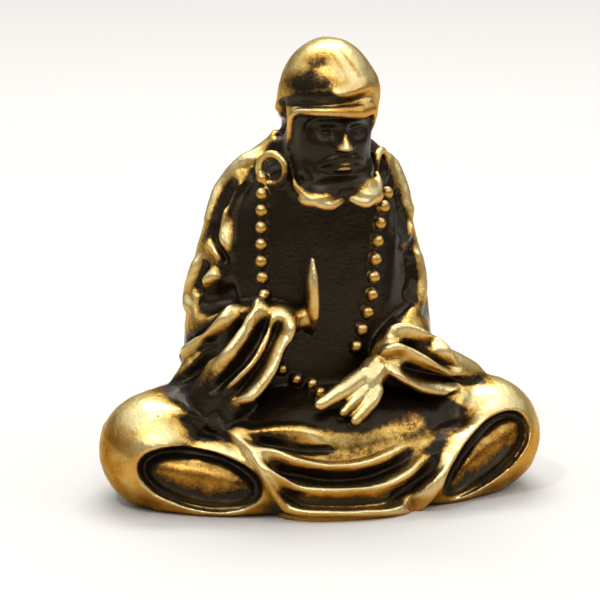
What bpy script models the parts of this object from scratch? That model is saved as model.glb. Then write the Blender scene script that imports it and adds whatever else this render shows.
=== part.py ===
"""A hooded monk seated cross-legged, cast in brass as one small solid figure.

Run with: blender --background --python part.py
Metres, +Z up. The figure faces -Y and its underside is cut flat at Z = 0.
"""

import math

import bmesh
import bpy
import numpy as np
from mathutils import Matrix, Vector
from mathutils.bvhtree import BVHTree

# Driving sizes of the real figure
HEIGHT = 0.034  # crown of the hood above the table
BEAD_DIAMETER = 0.00095
BEAD_PITCH = 0.0012
EARRING_DIAMETER = 0.0029
EARRING_WIRE = 0.0006
BRASS_COLOUR = (0.62, 0.42, 0.16, 1.0)
BRASS_ROUGHNESS = 0.35

# Pose, proportions and carving are shares of the height. One unit is a thirty-fourth of it,
# which is a millimetre on the real figure.
UNIT = HEIGHT / 34

# How finely the form is modelled, and how many triangles the finished casting keeps
VOXEL = 0.22 * UNIT
FINISHED_TRIANGLES = 9300

# Folds and other carving are drawn flat, as (across, up) in units, and thrown onto the form from a
# point this far away. Each drawing faces the figure from a turn and a height in degrees.
DRAWING_DISTANCE = 260
FRONT = (-12, 12)
BACK = (180, 8)

SIDES = {"right": -1, "left": 1}  # the figure's own right hand is at -X
GROOVE = 0.6  # width of the groove round the pads under the knees
HEAD_AXIS = (0.8, -2.8)
HEAD_TURN = 7  # degrees, towards the figure's left


def at(x, y, z):
    """A place on the figure, in units."""
    return Vector((x, y, z)) * UNIT


def in_head(x, y, z):
    """A place in units measured from the head's own axis, turned with the head."""
    turned = Matrix.Rotation(math.radians(HEAD_TURN), 4, "Z") @ Vector((x, y - HEAD_AXIS[1], z))
    return (turned.x + HEAD_AXIS[0], turned.y + HEAD_AXIS[1], turned.z)


def clear_scene():
    for obj in list(bpy.data.objects):
        bpy.data.objects.remove(obj, do_unlink=True)


# Ways of making solid pieces
def curve_through(points, steps=6):
    """A smooth line through the given points, as an array of places."""
    knots = [Vector(p) for p in points]
    knots = [2 * knots[0] - knots[1], *knots, 2 * knots[-1] - knots[-2]]
    line = []
    for a, b, c, d in zip(knots, knots[1:], knots[2:], knots[3:]):
        for step in range(steps):
            t = step / steps
            line.append(
                0.5 * (2 * b + (c - a) * t + (2 * a - 5 * b + 4 * c - d) * t**2
                       + (3 * b - a - 3 * c + d) * t**3)
            )
    line.append(knots[-2])
    return np.array([tuple(p) for p in line])


def ball(centre, radii, turn=(0, 0, 0)):
    """An ellipsoid. Centre and radii are in units, turn in degrees."""
    bpy.ops.mesh.primitive_uv_sphere_add(segments=40, ring_count=24, radius=1)
    obj = bpy.context.object
    obj.location = at(*centre)
    obj.scale = Vector(radii) * UNIT
    obj.rotation_euler = [math.radians(a) for a in turn]
    return obj


def limb(points, radii, flat=1.0):
    """A tapering bar with rounded ends along points given in units. Flat squeezes it sideways."""
    line = curve_through([at(*p) for p in points])
    share = np.linspace(0, len(radii) - 1, len(line))
    thick = np.interp(share, range(len(radii)), radii) * UNIT
    rounded = [math.radians(a) for a in (85, 60, 30)]
    start = (line[0] - line[1]) / np.linalg.norm(line[0] - line[1])
    end = (line[-1] - line[-2]) / np.linalg.norm(line[-1] - line[-2])
    places = [line[0] + start * thick[0] * math.sin(a) for a in rounded]
    widths = [thick[0] * math.cos(a) for a in rounded]
    places += list(line)
    widths += list(thick)
    places += [line[-1] + end * thick[-1] * math.sin(a) for a in reversed(rounded)]
    widths += [thick[-1] * math.cos(a) for a in reversed(rounded)]
    curve = bpy.data.curves.new("limb", "CURVE")
    curve.dimensions = "3D"
    curve.bevel_depth = 1
    curve.bevel_resolution = 5
    curve.use_fill_caps = True
    spline = curve.splines.new("POLY")
    spline.points.add(len(places) - 1)
    middle = line.mean(0)
    for point, place, width in zip(spline.points, places, widths):
        point.co = (place[0] - middle[0], place[1] - middle[1], place[2] - middle[2], 1)
        point.radius = width
    obj = bpy.data.objects.new("limb", curve)
    obj.location = middle
    obj.scale = (flat, 1, 1)
    bpy.context.scene.collection.objects.link(obj)
    return obj


def loft(sections, sides=48, squareness=2.5):
    """A closed skin through level oval sections, listed upwards as (z, half width, front, back, x)."""
    shape = bmesh.new()
    rings = []
    for z, half, front, back, x in sections:
        middle = (front + back) / 2
        deep = (back - front) / 2
        ring = []
        for k in range(sides):
            a = 2 * math.pi * k / sides
            c, s = math.cos(a), math.sin(a)
            r = (abs(c) ** squareness + abs(s) ** squareness) ** (-1 / squareness)
            ring.append(shape.verts.new(at(x + half * r * c, middle + deep * r * s, z)))
        rings.append(ring)
    for low, high in zip(rings, rings[1:]):
        for k in range(sides):
            n = (k + 1) % sides
            shape.faces.new((low[k], low[n], high[n], high[k]))
    shape.faces.new(list(reversed(rings[0])))
    shape.faces.new(rings[-1])
    mesh = bpy.data.meshes.new("loft")
    shape.to_mesh(mesh)
    shape.free()
    obj = bpy.data.objects.new("loft", mesh)
    bpy.context.scene.collection.objects.link(obj)
    return obj


def settle(obj):
    """Makes what the modifiers show the object's own mesh."""
    bpy.context.view_layer.update()
    graph = bpy.context.evaluated_depsgraph_get()
    mesh = bpy.data.meshes.new_from_object(obj.evaluated_get(graph))
    old = obj.data
    obj.modifiers.clear()
    obj.data = mesh
    bpy.data.meshes.remove(old)


def fuse(name, pieces, rounding):
    """One closed skin round all the pieces, remeshed and then rounded off by smoothing."""
    bpy.context.view_layer.update()
    graph = bpy.context.evaluated_depsgraph_get()
    together = bmesh.new()
    for piece in pieces:
        mesh = bpy.data.meshes.new_from_object(piece.evaluated_get(graph))
        mesh.transform(piece.matrix_world)
        together.from_mesh(mesh)
        bpy.data.meshes.remove(mesh)
    bmesh.ops.remove_doubles(together, verts=together.verts, dist=1e-4 * UNIT)
    mesh = bpy.data.meshes.new(name)
    together.to_mesh(mesh)
    together.free()
    obj = bpy.data.objects.new(name, mesh)
    bpy.context.scene.collection.objects.link(obj)
    skin = obj.modifiers.new("skin", "REMESH")
    skin.mode = "VOXEL"
    skin.voxel_size = VOXEL
    if rounding:
        smooth = obj.modifiers.new("rounding", "SMOOTH")
        smooth.factor = 0.5
        smooth.iterations = rounding
    settle(obj)
    for piece in pieces:
        bpy.data.objects.remove(piece, do_unlink=True)
    return obj


# Ways of working the surface
def points_of(mesh):
    found = np.empty(len(mesh.vertices) * 3, np.float32)
    mesh.vertices.foreach_get("co", found)
    return found.reshape(-1, 3).astype(float)


def normals_of(mesh):
    found = np.empty(len(mesh.vertices) * 3, np.float32)
    mesh.vertices.foreach_get("normal", found)
    return found.reshape(-1, 3).astype(float)


def calm_normals(mesh, rounds=6):
    """Normals averaged with their neighbours', so that strokes may cross steep places."""
    ends = np.empty(len(mesh.edges) * 2, np.int32)
    mesh.edges.foreach_get("vertices", ends)
    ends = ends.reshape(-1, 2)
    normals = normals_of(mesh)
    for _ in range(rounds):
        total = normals.copy()
        for axis in range(3):
            total[:, axis] += np.bincount(ends[:, 0], normals[ends[:, 1], axis], len(normals))
            total[:, axis] += np.bincount(ends[:, 1], normals[ends[:, 0], axis], len(normals))
        normals = total / np.maximum(np.linalg.norm(total, axis=1), 1e-9)[:, None]
    return normals


def move_points(mesh, points):
    mesh.vertices.foreach_set("co", points.astype(np.float32).ravel())
    mesh.update()


def surface_of(obj):
    bpy.context.view_layer.update()
    return BVHTree.FromObject(obj, bpy.context.evaluated_depsgraph_get())


def drawing(view):
    """The eye, the point it looks at, and the drawing's across and up directions."""
    turn, height = (math.radians(a) for a in view)
    back = Vector((math.sin(turn) * math.cos(height), -math.cos(turn) * math.cos(height), math.sin(height)))
    across = Vector((math.cos(turn), math.sin(turn), 0))
    up = back.cross(across)
    target = at(0, 0, 15.5) - up * 15.16 * UNIT
    return target + up * 15.16 * UNIT + back * DRAWING_DISTANCE * UNIT, target, across, up


def thrown(surface, view, places, lift=0):
    """Places of a drawing thrown onto the form, raised from it by lift units."""
    eye, target, across, up = drawing(view)
    found = []
    for u, v in places:
        aim = target + (across * u + up * v) * UNIT
        place, normal, _, _ = surface.ray_cast(eye, (aim - eye).normalized())
        if place is None:
            place, normal, _, _ = surface.find_nearest(aim)
        found.append((place + normal * lift * UNIT) / UNIT)
    return found


def carve(obj, view, strokes):
    """Works strokes into the surface, as a modeller works wax. A stroke is (shape, places, width, height).

    A fold is a rounded ridge, or a groove where its height is below nought. An edge is the border of
    a layer of cloth: full height at the line, dying away over width on the left of its direction, and
    a sharp step down on its right. Width and height are in units.
    """
    mesh = obj.data
    surface = surface_of(obj)
    points = points_of(mesh)
    normals = calm_normals(mesh)
    moved = np.zeros(len(points))
    for shape, places, width, height in strokes:
        flat = curve_through([(u, v, 0) for u, v in places])
        line = np.array([tuple(p) for p in thrown(surface, view, flat[:, :2])]) * UNIT
        reach = width * UNIT
        low = line.min(0) - reach
        high = line.max(0) + reach
        near = np.flatnonzero(((points > low) & (points < high)).all(1))
        if not len(near):
            continue
        run = np.diff(line, axis=0)
        offset = points[near][:, None] - line[:-1]
        share = np.clip((offset * run).sum(2) / np.maximum((run**2).sum(1), 1e-18), 0, 1)
        gap = offset - share[..., None] * run
        distance = np.linalg.norm(gap, axis=2)
        nearest = distance.argmin(1)
        pick = np.arange(len(near))
        along = (nearest + share[pick, nearest]) / len(run)
        distance = distance[pick, nearest] / reach
        ends = np.clip(np.minimum(along, 1 - along) * 5, 0, 1)
        ends = ends * ends * (3 - 2 * ends)
        if shape == "fold":
            form = np.clip(1 - distance**2, 0, 1) ** 2
        else:
            across = np.cross(normals[near], run[nearest])
            inside = (across * gap[pick, nearest]).sum(1) > 0
            fall = np.clip(1 - distance, 0, 1)
            form = np.where(inside, fall * fall * (3 - 2 * fall), np.clip(1 - distance * 4, 0, 1))
        moved[near] += height * UNIT * form * ends
    move_points(mesh, points + normals * moved[:, None])


def dish(obj, view, centre, length, width, tilt, taper, depth, pad):
    """Sinks an oval hollow with a smooth domed pad standing in it, a groove's width from its wall.

    Tilt is in degrees. Taper makes the oval fuller at its far end and narrower at its near end.
    """
    mesh = obj.data
    points = points_of(mesh)
    eye, target, across, up = (np.array(v) for v in drawing(view))
    facing = np.cross(across, up)
    ray = points - eye
    flat = eye + ray * (((target - eye) @ facing) / (ray @ facing))[:, None] - target
    u = flat @ across / UNIT - centre[0]
    v = flat @ up / UNIT - centre[1]
    c = math.cos(math.radians(tilt))
    s = math.sin(math.radians(tilt))
    along = (u * c + v * s) / length
    aside = (v * c - u * s) / (1 + taper * np.clip(along, -1, 1))
    far = np.hypot(along, aside / width)
    in_pad = np.hypot(along * length / (length - GROOVE), aside / (width - GROOVE))
    front = normals_of(mesh) @ facing
    level = points @ facing / UNIT
    inside = (front > 0.05) & (far < 1)
    inside &= level > np.percentile(level[inside], 75) - 2.5
    bend = np.stack([np.ones(len(u)), u, v, u * u, u * v, v * v], 1)
    even = bend @ np.linalg.lstsq(bend[inside], level[inside], rcond=None)[0]
    near = (abs(level - even) < 2.5) & (front > -0.4)
    hollow = np.clip((1.05 - far) / 0.12, 0, 1)
    hollow = hollow * hollow * (3 - 2 * hollow)
    dome = np.sqrt(np.clip(1 - in_pad**2, 0, 1))
    moved = (even - depth + pad * dome - level) * hollow * near
    move_points(mesh, points + facing * (moved * UNIT)[:, None])


# The body under the robe, and the robe's main masses
def body_masses():
    seat_and_trunk = [
        (-1.5, 9.6, -6, 8.2, 0), (1, 10.4, -6, 8.9, 0), (4, 10.4, -6, 8.9, 0), (7, 9.5, -5.6, 8.2, 0),
        (10, 8.8, -5.2, 7.4, 0), (13, 8.3, -5.0, 6.8, 0), (16, 7.8, -4.9, 6.4, 0), (19, 7.1, -4.7, 6.1, 0),
        (21.5, 6.1, -4.4, 5.7, 0), (23, 5.1, -4.3, 5.2, 0.1), (24.5, 4.0, -4.2, 4.2, 0.3),
    ]
    apron = [
        (-1.5, 4.9, -11.6, -4, 0.3), (0, 5.0, -11.8, -4, 0.3), (1.5, 5.6, -11.7, -4, 0.3),
        (3, 6.3, -11.3, -4, 0.3), (4.6, 6.6, -10.4, -4, 0.3), (6.0, 5.8, -9.1, -4, 0.3),
        (7.0, 4.4, -7.6, -4, 0.3),
    ]
    pieces = [loft(seat_and_trunk), loft(apron), ball((0, -4.4, 4.6), (10.5, 5.8, 4.1))]
    for side in SIDES.values():
        pieces += [
            limb([(4 * side, -1, 4.4), (8.5 * side, -2.6, 4.6), (12.3 * side, -3.7, 4.3)], [4.2, 4.3, 4.1]),
            limb([(6 * side, 4.4, 3.4), (10 * side, 1.6, 3.6), (12.6 * side, -1.6, 3.8)], [4.0, 3.9, 3.7]),
            ball((12.3 * side, -4.1, 4.0), (4.3, 4.7, 4.35)),
            limb([(12 * side, -5.3, 2.8), (8 * side, -7.5, 2.7), (3 * side, -8.6, 2.7)], [3.2, 3.1, 2.7]),
        ]
    return pieces


def arm_masses():
    return [
        limb([(-4.7, 0.9, 21.3), (-5.7, 0.5, 18.6), (-6.3, 0, 15.4), (-6.6, -0.6, 12.2), (-6.8, -0.8, 9.4)],
             [2.4, 2.5, 2.8, 3.0, 3.0]),
        limb([(-6.6, -1.2, 11.8), (-5.6, -4.0, 12.6), (-3.4, -5.9, 13.6)], [2.9, 2.3, 1.5]),
        limb([(-3.9, -6.1, 12.8), (-5.5, -6.6, 10.4), (-7.0, -6.8, 8.2), (-8.1, -6.7, 6.4)],
             [1.3, 1.55, 1.35, 0.8]),
        limb([(-5.4, -5.0, 11.8), (-7.0, -5.5, 9.6), (-8.6, -5.2, 7.8), (-9.8, -4.6, 6.4)],
             [2.1, 2.2, 1.8, 1.0]),
        limb([(-7.0, -2.8, 10.8), (-8.8, -3.2, 9.0), (-10.2, -2.9, 7.8), (-11.4, -2.4, 6.8)],
             [2.2, 2.0, 1.4, 0.8]),
        limb([(5.0, 0.9, 21.8), (5.6, 0.5, 18.8), (6.1, 0, 15.4), (6.3, -0.4, 12.2), (6.5, -0.8, 10)],
             [2.3, 2.5, 2.7, 2.8, 2.7]),
        limb([(6.3, -1.0, 11.6), (6.0, -4.2, 11.2), (4.5, -6.4, 10.8)], [2.7, 2.2, 1.4]),
        limb([(4.8, -6.4, 10.0), (8.1, -5.1, 9.5), (11.2, -3.8, 8.2), (12.8, -2.9, 6.8)],
             [1.7, 1.8, 1.35, 0.7]),
    ]


def hood_masses():
    x, y = HEAD_AXIS
    fall = [
        (21.4, 5.4, -4.2, 5.4, 0), (23.4, 4.2, -4.8, 4.4, 0.2), (24.9, 3.35, -5.4, 3.2, 0.5),
        (26.4, 3.15, -6.1, 2.2, 0.65), (28, 3.2, -6.6, 1.7, 0.7), (29.6, 3.45, -6.7, 1.5, 0.75),
        (31, 2.9, -5.8, 0.8, 0.8),
    ]
    return [
        loft(fall, squareness=2.3),
        ball((x - 0.05, y + 0.1, 29.3), (3.7, 4.3, 4.65), (0, 2, 0)),
        ball((x + 1.75, y - 0.2, 30.05), (2.0, 3.0, 2.35)),
        limb([(-2.2, -0.2, 25.6), (-3.9, 0.4, 23.4), (-5.4, 0.8, 20.8)], [1.2, 1.8, 2.0]),
        limb([(3.2, -0.2, 25.6), (4.5, 0.4, 23.6), (5.6, 0.8, 21.2)], [1.2, 1.9, 2.0]),
    ]


# Folds of the robe, drawn from the front
def sleeve_strokes():
    right_arm = [
        ("fold", [(-3.2, 25.1), (-5.4, 24.2), (-7.6, 21.7), (-8.1, 18.6), (-6.3, 16.2)], 1.3, 0.65),
        ("fold", [(-6.8, 23.1), (-7.2, 20.6), (-7.2, 18.1)], 0.9, -0.45),
        ("edge", [(-5.8, 16.4), (-6.1, 18.0), (-6.1, 19.9), (-5.5, 21.6), (-4.5, 22.9)], 2.2, 0.8),
        ("edge", [(-8.9, 17.1), (-9.5, 15.0), (-9.6, 13.1), (-9.2, 11.7), (-7.7, 11.0)], 1.3, 0.6),
        ("fold", [(-9.1, 13.5), (-7.7, 13.5), (-6.0, 14.3)], 1.5, -0.9),
        ("fold", [(-8.7, 14.7), (-7.6, 15.4), (-6.3, 15.6)], 0.8, 0.45),
    ]
    right_sleeve = [
        ("fold", [(-5.4, 13.4), (-6.6, 11.9), (-8.2, 10.4), (-10.3, 8.6)], 0.9, 0.7),
        ("fold", [(-3.8, 13.7), (-4.2, 12.2), (-5.5, 9.8), (-7.6, 7.6)], 0.95, 0.95),
        ("fold", [(-2.7, 12.2), (-3.6, 10.1), (-5.4, 7.6), (-7.2, 6.2)], 0.6, 0.4),
        ("fold", [(-1.4, 12.9), (-1.8, 11.3), (-3.0, 8.8), (-5.2, 5.6)], 0.85, 0.95),
        ("fold", [(-4.7, 12.9), (-6.0, 10.7), (-8.6, 7.9), (-10.7, 6.1)], 0.75, -0.85),
        ("fold", [(-3.3, 13.1), (-4.3, 10.4), (-6.4, 7.1), (-8.3, 4.9)], 0.55, -0.65),
        ("fold", [(-2.1, 12.5), (-3.1, 9.8), (-5.1, 6.8), (-6.6, 4.6)], 0.6, -0.8),
        ("fold", [(-6.6, 12.6), (-7.7, 11.3), (-9.5, 9.8)], 0.6, -0.5),
    ]
    left_arm = [
        ("fold", [(6.0, 24.0), (7.0, 22.2), (7.6, 20.6), (7.5, 18.6), (6.5, 17.0)], 1.1, 0.6),
        ("fold", [(8.2, 18.0), (8.7, 15.4), (8.8, 13.3), (7.5, 12.3)], 1.1, 0.5),
        ("fold", [(6.7, 20.6), (6.7, 18.9), (6.0, 16.4)], 0.8, -0.5),
        ("fold", [(7.9, 16.4), (7.6, 14.6), (6.6, 12.6)], 0.8, -0.4),
        ("edge", [(6.1, 22.8), (6.1, 19.9), (6.0, 17.3), (5.8, 14.3), (5.4, 11.7)], 2.0, 0.5),
    ]
    left_sleeve = [
        ("fold", [(5.4, 10.8), (7.1, 11.3), (8.9, 10.4), (11.0, 8.8)], 0.8, 0.7),
        ("fold", [(4.9, 9.5), (6.6, 9.8), (8.8, 8.8), (11.8, 7.8)], 0.65, 0.75),
        ("fold", [(5.4, 8.8), (7.4, 7.5), (9.5, 7.0), (11.6, 7.1)], 0.7, 0.7),
        ("fold", [(6.6, 10.5), (8.5, 9.6), (11.3, 8.0)], 0.6, -0.9),
        ("fold", [(6.7, 8.8), (8.8, 7.8), (11.8, 7.3)], 0.55, -0.9),
    ]
    return right_arm + right_sleeve + left_arm + left_sleeve


def hem_strokes():
    hem = [
        (-13.7, 4.6), (-10.8, 5.1), (-7.9, 4.1), (-4.8, 2.3), (-3.0, -0.4), (-1.3, -2.1),
        (3.0, -2.3), (6.7, -2.2), (8.2, -1.6), (9.7, -0.0), (11.4, 2.1), (13.0, 4.0),
        (14.4, 4.9), (16.1, 5.6),
    ]
    return [("edge", hem, 1.7, 0.7)]


def lap_strokes():
    """Folds sagging from knee to knee, and the valleys between them."""
    first_fold = [
        (-4.8, 2.8), (-2.6, 2.0), (-0.7, 1.3), (1.6, 1.0), (3.5, 1.2), (5.3, 1.7), (7.3, 2.6),
    ]
    first_valley = [(-3.9, 2.0), (-1.9, 0.8), (1.1, 0.2), (4.1, 0.3), (6.3, 1.2), (8.5, 2.9)]
    second_fold = [
        (-3.9, 1.8), (-2.6, 0.6), (-1.0, -0.4), (1.3, -0.7), (4.1, -0.6), (5.9, -0.1), (7.8, 1.0),
        (9.5, 2.6),
    ]
    second_valley = [
        (-3.1, 0.4), (-1.3, -1.3), (1.5, -1.6), (4.5, -1.5), (6.7, -1.1), (8.8, 0.6), (10.4, 2.5),
    ]
    return [
        ("fold", [(-6.1, 4.4), (-4.6, 3.5), (-2.5, 3.8), (-0.4, 3.7), (1.2, 2.9)], 0.8, 0.4),
        ("fold", [(-4.6, 3.2), (-2.6, 2.7), (-0.1, 2.3), (2.2, 2.4)], 0.5, -0.35),
        ("fold", first_fold, 0.6, 0.6),
        ("fold", first_valley, 0.8, -0.85),
        ("fold", second_fold, 0.55, 0.5),
        ("fold", second_valley, 0.75, -0.8),
    ]


def hood_strokes():
    return [
        ("fold", [(-1.9, 28.1), (-0.4, 28.1), (1.3, 28.1), (2.5, 28.2), (3.7, 28.5), (5.2, 29.1)],
         0.55, -0.42),
        ("fold", [(1.5, 28.7), (3.0, 28.9), (4.8, 29.8)], 0.8, 0.22),
        ("fold", [(-2.2, 28.7), (-2.1, 26.9), (-2.4, 25.3)], 0.8, -0.55),
        ("edge", [(-2.5, 24.7), (-2.5, 26.3), (-2.4, 27.8), (-2.0, 28.6)], 0.8, 0.2),
    ]


# Folds of the robe behind, falling from the shoulders and gathered on the seat
def back_strokes():
    strokes = []
    for side in SIDES.values():
        strokes += [
            ("fold", [(3.4 * side, 22), (4.6 * side, 17), (5.0 * side, 11), (6.6 * side, 6)], 1.5, 0.5),
            ("fold", [(1.6 * side, 21), (2.3 * side, 15), (2.2 * side, 9), (3.2 * side, 4.5)], 1.3, 0.4),
            ("fold", [(2.6 * side, 20), (3.4 * side, 14), (3.5 * side, 8)], 1.2, -0.4),
            ("fold", [(6.4 * side, 17), (6.8 * side, 12), (8.6 * side, 7.6)], 1.2, -0.45),
            ("fold", [(1.0 * side, 4.8), (5.0 * side, 3.4), (10 * side, 3.2)], 1.1, -0.4),
        ]
    strokes.append(("fold", [(-2.6, 24.6), (0, 23.2), (2.8, 24.6)], 1.0, 0.45))
    strokes.append(("edge", [(12, 1.6), (6, 1.0), (0, 0.9), (-6, 1.0), (-12, 1.6)], 1.6, 0.3))
    return strokes


# Details laid on the form
def beard():
    """A full, smooth beard wrapping the jaw below the lips, rolled along its edge into two lobes."""
    pieces = [ball(in_head(0, -4.9, 23.4), (3.05, 2.1, 1.15), (0, 0, HEAD_TURN))]
    edge = [
        (3.2, -4.3, 24.0), (3.1, -4.9, 23.4), (2.5, -6.0, 22.7), (1.35, -6.75, 22.3),
        (0.35, -6.7, 22.65),
    ]
    for side in SIDES.values():
        pieces += [
            ball(in_head(1.5 * side, -5.55, 23.15), (1.8, 1.55, 1.1), (0, 16 * side, 18 * side)),
            limb([in_head(x * side, y, z) for x, y, z in edge], [0.15, 0.3, 0.36, 0.36, 0.22]),
        ]
    return pieces


def hood_rim(surface):
    band = [
        (-1.6, 24.9), (-1.4, 26.3), (-1.1, 27.4), (0.1, 27.5), (2.1, 27.5), (3.6, 27.5), (4.6, 27.8),
    ]
    return [limb(thrown(surface, FRONT, band, lift=0), [0.2, 0.28, 0.32, 0.3, 0.4, 0.52, 0.4])]


def earrings(surface):
    rings = []
    for side, place in ((SIDES["right"], (-2.5, 23.1)), (SIDES["left"], (5.0, 23.4))):
        bpy.ops.mesh.primitive_torus_add(
            major_radius=(EARRING_DIAMETER - EARRING_WIRE) / 2,
            minor_radius=EARRING_WIRE / 2,
            major_segments=32,
            minor_segments=12,
        )
        ring = bpy.context.object
        ring.location = thrown(surface, FRONT, [place], lift=0.45)[0] * UNIT
        ring.rotation_euler = (math.radians(90), 0, math.radians(50 * side + HEAD_TURN))
        rings.append(ring)
    return rings


def beads(surface):
    strands = [
        [(-3.4, 22.5), (-3.5, 19.9), (-3.6, 16.4), (-3.4, 14.0)],
        [(5.5, 22.0), (5.2, 19.1), (4.8, 15.4), (4.5, 13.2), (3.9, 11.3), (3.5, 9.9)],
        [(-2.2, 8.4), (-1.0, 7.6), (-0.1, 7.1), (0.7, 6.4)],
    ]
    found = []
    for strand in strands:
        flat = curve_through([(u, v, 0) for u, v in strand], 12)
        line = np.array([tuple(p) for p in thrown(surface, FRONT, flat[:, :2], lift=0.3)])
        length = np.concatenate([[0], np.cumsum(np.linalg.norm(np.diff(line, axis=0), axis=1))])
        count = int(length[-1] * UNIT / BEAD_PITCH)
        for k in range(count + 1):
            place = [np.interp(k * length[-1] / count, length, line[:, axis]) for axis in range(3)]
            found.append(ball(place, [BEAD_DIAMETER / 2 / UNIT] * 3))
    return found


def hands():
    """The right hand held upright before the chest, seen edge on, and the left on the lap."""
    upright = limb([(-1.1, -5.6, 13.5), (-1.15, -6.5, 14.6), (-1.35, -7.0, 16.6), (-1.45, -7.1, 18.2)],
                   [1.1, 1.25, 1.0, 0.4], flat=0.42)
    wrist = limb([(-3.2, -5.9, 13.7), (-1.6, -6.3, 13.9)], [0.9, 0.8])
    on_lap = [
        limb([(4.5, -6.5, 10.3), (3.3, -7.3, 9.9), (2.5, -8.0, 9.2)], [1.0, 1.15, 1.05]),
        limb([(2.2, -8.1, 9.8), (0.5, -8.8, 8.95), (-1.2, -9.2, 8.1)], [0.72, 0.66, 0.5]),
        limb([(2.3, -8.6, 8.9), (1.4, -9.1, 8.2), (0.5, -9.4, 7.45)], [0.55, 0.5, 0.42]),
        limb([(3.1, -8.4, 8.8), (2.5, -9.2, 8.0), (1.3, -9.8, 6.95)], [0.62, 0.58, 0.46]),
    ]
    return [upright, wrist, *on_lap]


def open_face(obj):
    """Presses a calm, plain face into the front of the hood, inside a round-cornered opening."""
    mesh = obj.data
    points = points_of(mesh) / UNIT
    angle = math.radians(-HEAD_TURN)
    x = points[:, 0] - HEAD_AXIS[0]
    y = points[:, 1] - HEAD_AXIS[1]
    z = points[:, 2]
    side = x * math.cos(angle) - y * math.sin(angle)
    deep = x * math.sin(angle) + y * math.cos(angle)
    centre_z, half_height, corner = 25.8, 2.95, 1.0
    half_width = 2.7 + 0.5 * np.clip((25.4 - z) / 1.5, 0, 1)
    over_x = np.maximum(abs(side) - half_width + corner, 0)
    over_z = np.maximum(abs(z - centre_z) - half_height + corner, 0)
    mask = np.clip((corner + 0.15 - np.hypot(over_x, over_z)) / 0.4, 0, 1)

    def mound(at_side, at_z, wide, tall, height):
        """A soft rise of the skin, the same on both sides."""
        return height * np.exp(-(((abs(side) - at_side) / wide) ** 2) - ((z - at_z) / tall) ** 2)

    skin = 3.3 * np.sqrt(np.clip(1 - (side / 3.3) ** 2 - ((z - 26.4) / 5.4) ** 2, 0, 1))
    skin += mound(1.0, 28.25, 0.95, 0.32, 0.42) + mound(0, 28.0, 0.5, 0.45, 0.2)
    skin -= mound(1.15, 27.55, 0.75, 0.4, 0.42)
    skin += mound(1.2, 27.4, 0.55, 0.3, 0.34)
    skin += mound(1.7, 26.5, 0.8, 0.55, 0.22)
    bridge = np.clip((28.2 - z) / 1.9, 0, 1) * np.clip((z - 25.95) / 0.25, 0, 1)
    skin += (0.25 + 0.75 * bridge) * bridge**0.3 * np.exp(-((side / (0.3 + 0.16 * bridge)) ** 2))
    skin += mound(0.48, 26.3, 0.24, 0.24, 0.34)
    skin += mound(0, 25.1, 0.8, 0.17, 0.24) + mound(0, 24.72, 0.6, 0.19, 0.28)
    skin -= mound(0, 24.91, 0.75, 0.07, 0.16)
    beard = np.clip((24.4 + 0.2 * side**2 - z) / 1.7, 0, 1)
    skin += (1.15 - 0.05 * side**2) * beard * beard * (3 - 2 * beard)
    droop = 25.62 - 0.16 * abs(side) - 0.3 * np.clip(abs(side) - 0.7, 0, 9) ** 1.5
    tache = np.exp(-(((z - droop) / 0.27) ** 2)) * np.clip(1 - (abs(side) / 2.3) ** 3, 0, 1)
    skin += 0.3 * tache * (1 - 0.6 * np.exp(-((side / 0.16) ** 2)))
    moved = (-skin - deep) * mask * (deep < 0)
    turned = np.stack([math.sin(angle) * moved, math.cos(angle) * moved, 0 * moved], 1)
    move_points(mesh, (points + turned) * UNIT)


def face_strokes():
    """Lowered eyelids, drawn square on to the face."""
    strokes = []
    for side in SIDES.values():
        lid = [(0.62 * side, 27.36), (1.2 * side, 27.16), (1.8 * side, 27.34)]
        fold = [(0.6 * side, 27.62), (1.2 * side, 27.74), (1.85 * side, 27.55)]
        strokes += [("fold", lid, 0.22, -0.16), ("fold", fold, 0.2, -0.1)]
    return [(shape, [face_on(*place) for place in places], w, h) for shape, places, w, h in strokes]


def face_on(side, z):
    """A place on the face as a place of the drawing square on to it."""
    near = DRAWING_DISTANCE / (DRAWING_DISTANCE - 6)
    angle = math.radians(HEAD_TURN)
    middle = HEAD_AXIS[0] * math.cos(angle) + HEAD_AXIS[1] * math.sin(angle)
    return ((side + middle) * near, 15.16 + (z - 15.5) * near)


def finish(obj):
    """Thins the mesh, cuts the underside flat and stands the casting on the origin."""
    mesh = obj.data
    triangles = sum(len(face.vertices) - 2 for face in mesh.polygons)
    thin = obj.modifiers.new("thin", "DECIMATE")
    thin.ratio = FINISHED_TRIANGLES / triangles
    settle(obj)
    shape = bmesh.new()
    shape.from_mesh(obj.data)
    everything = shape.verts[:] + shape.edges[:] + shape.faces[:]
    cut = bmesh.ops.bisect_plane(
        shape, geom=everything, dist=0.02 * UNIT, plane_co=(0, 0, 0), plane_no=(0, 0, 1), clear_inner=True
    )
    rim = [e for e in cut["geom_cut"] if isinstance(e, bmesh.types.BMEdge)]
    bmesh.ops.holes_fill(shape, edges=rim, sides=0)
    for vertex in shape.verts:
        if vertex.co.z < 0.03 * UNIT:
            vertex.co.z = 0
    bmesh.ops.triangulate(shape, faces=[f for f in shape.faces if len(f.verts) > 3])
    low = Vector([min(v.co[axis] for v in shape.verts) for axis in range(3)])
    high = Vector([max(v.co[axis] for v in shape.verts) for axis in range(3)])
    shape.transform(Matrix.Translation((-(low.x + high.x) / 2, -(low.y + high.y) / 2, 0)))
    bmesh.ops.recalc_face_normals(shape, faces=shape.faces)
    shape.to_mesh(obj.data)
    shape.free()


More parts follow.
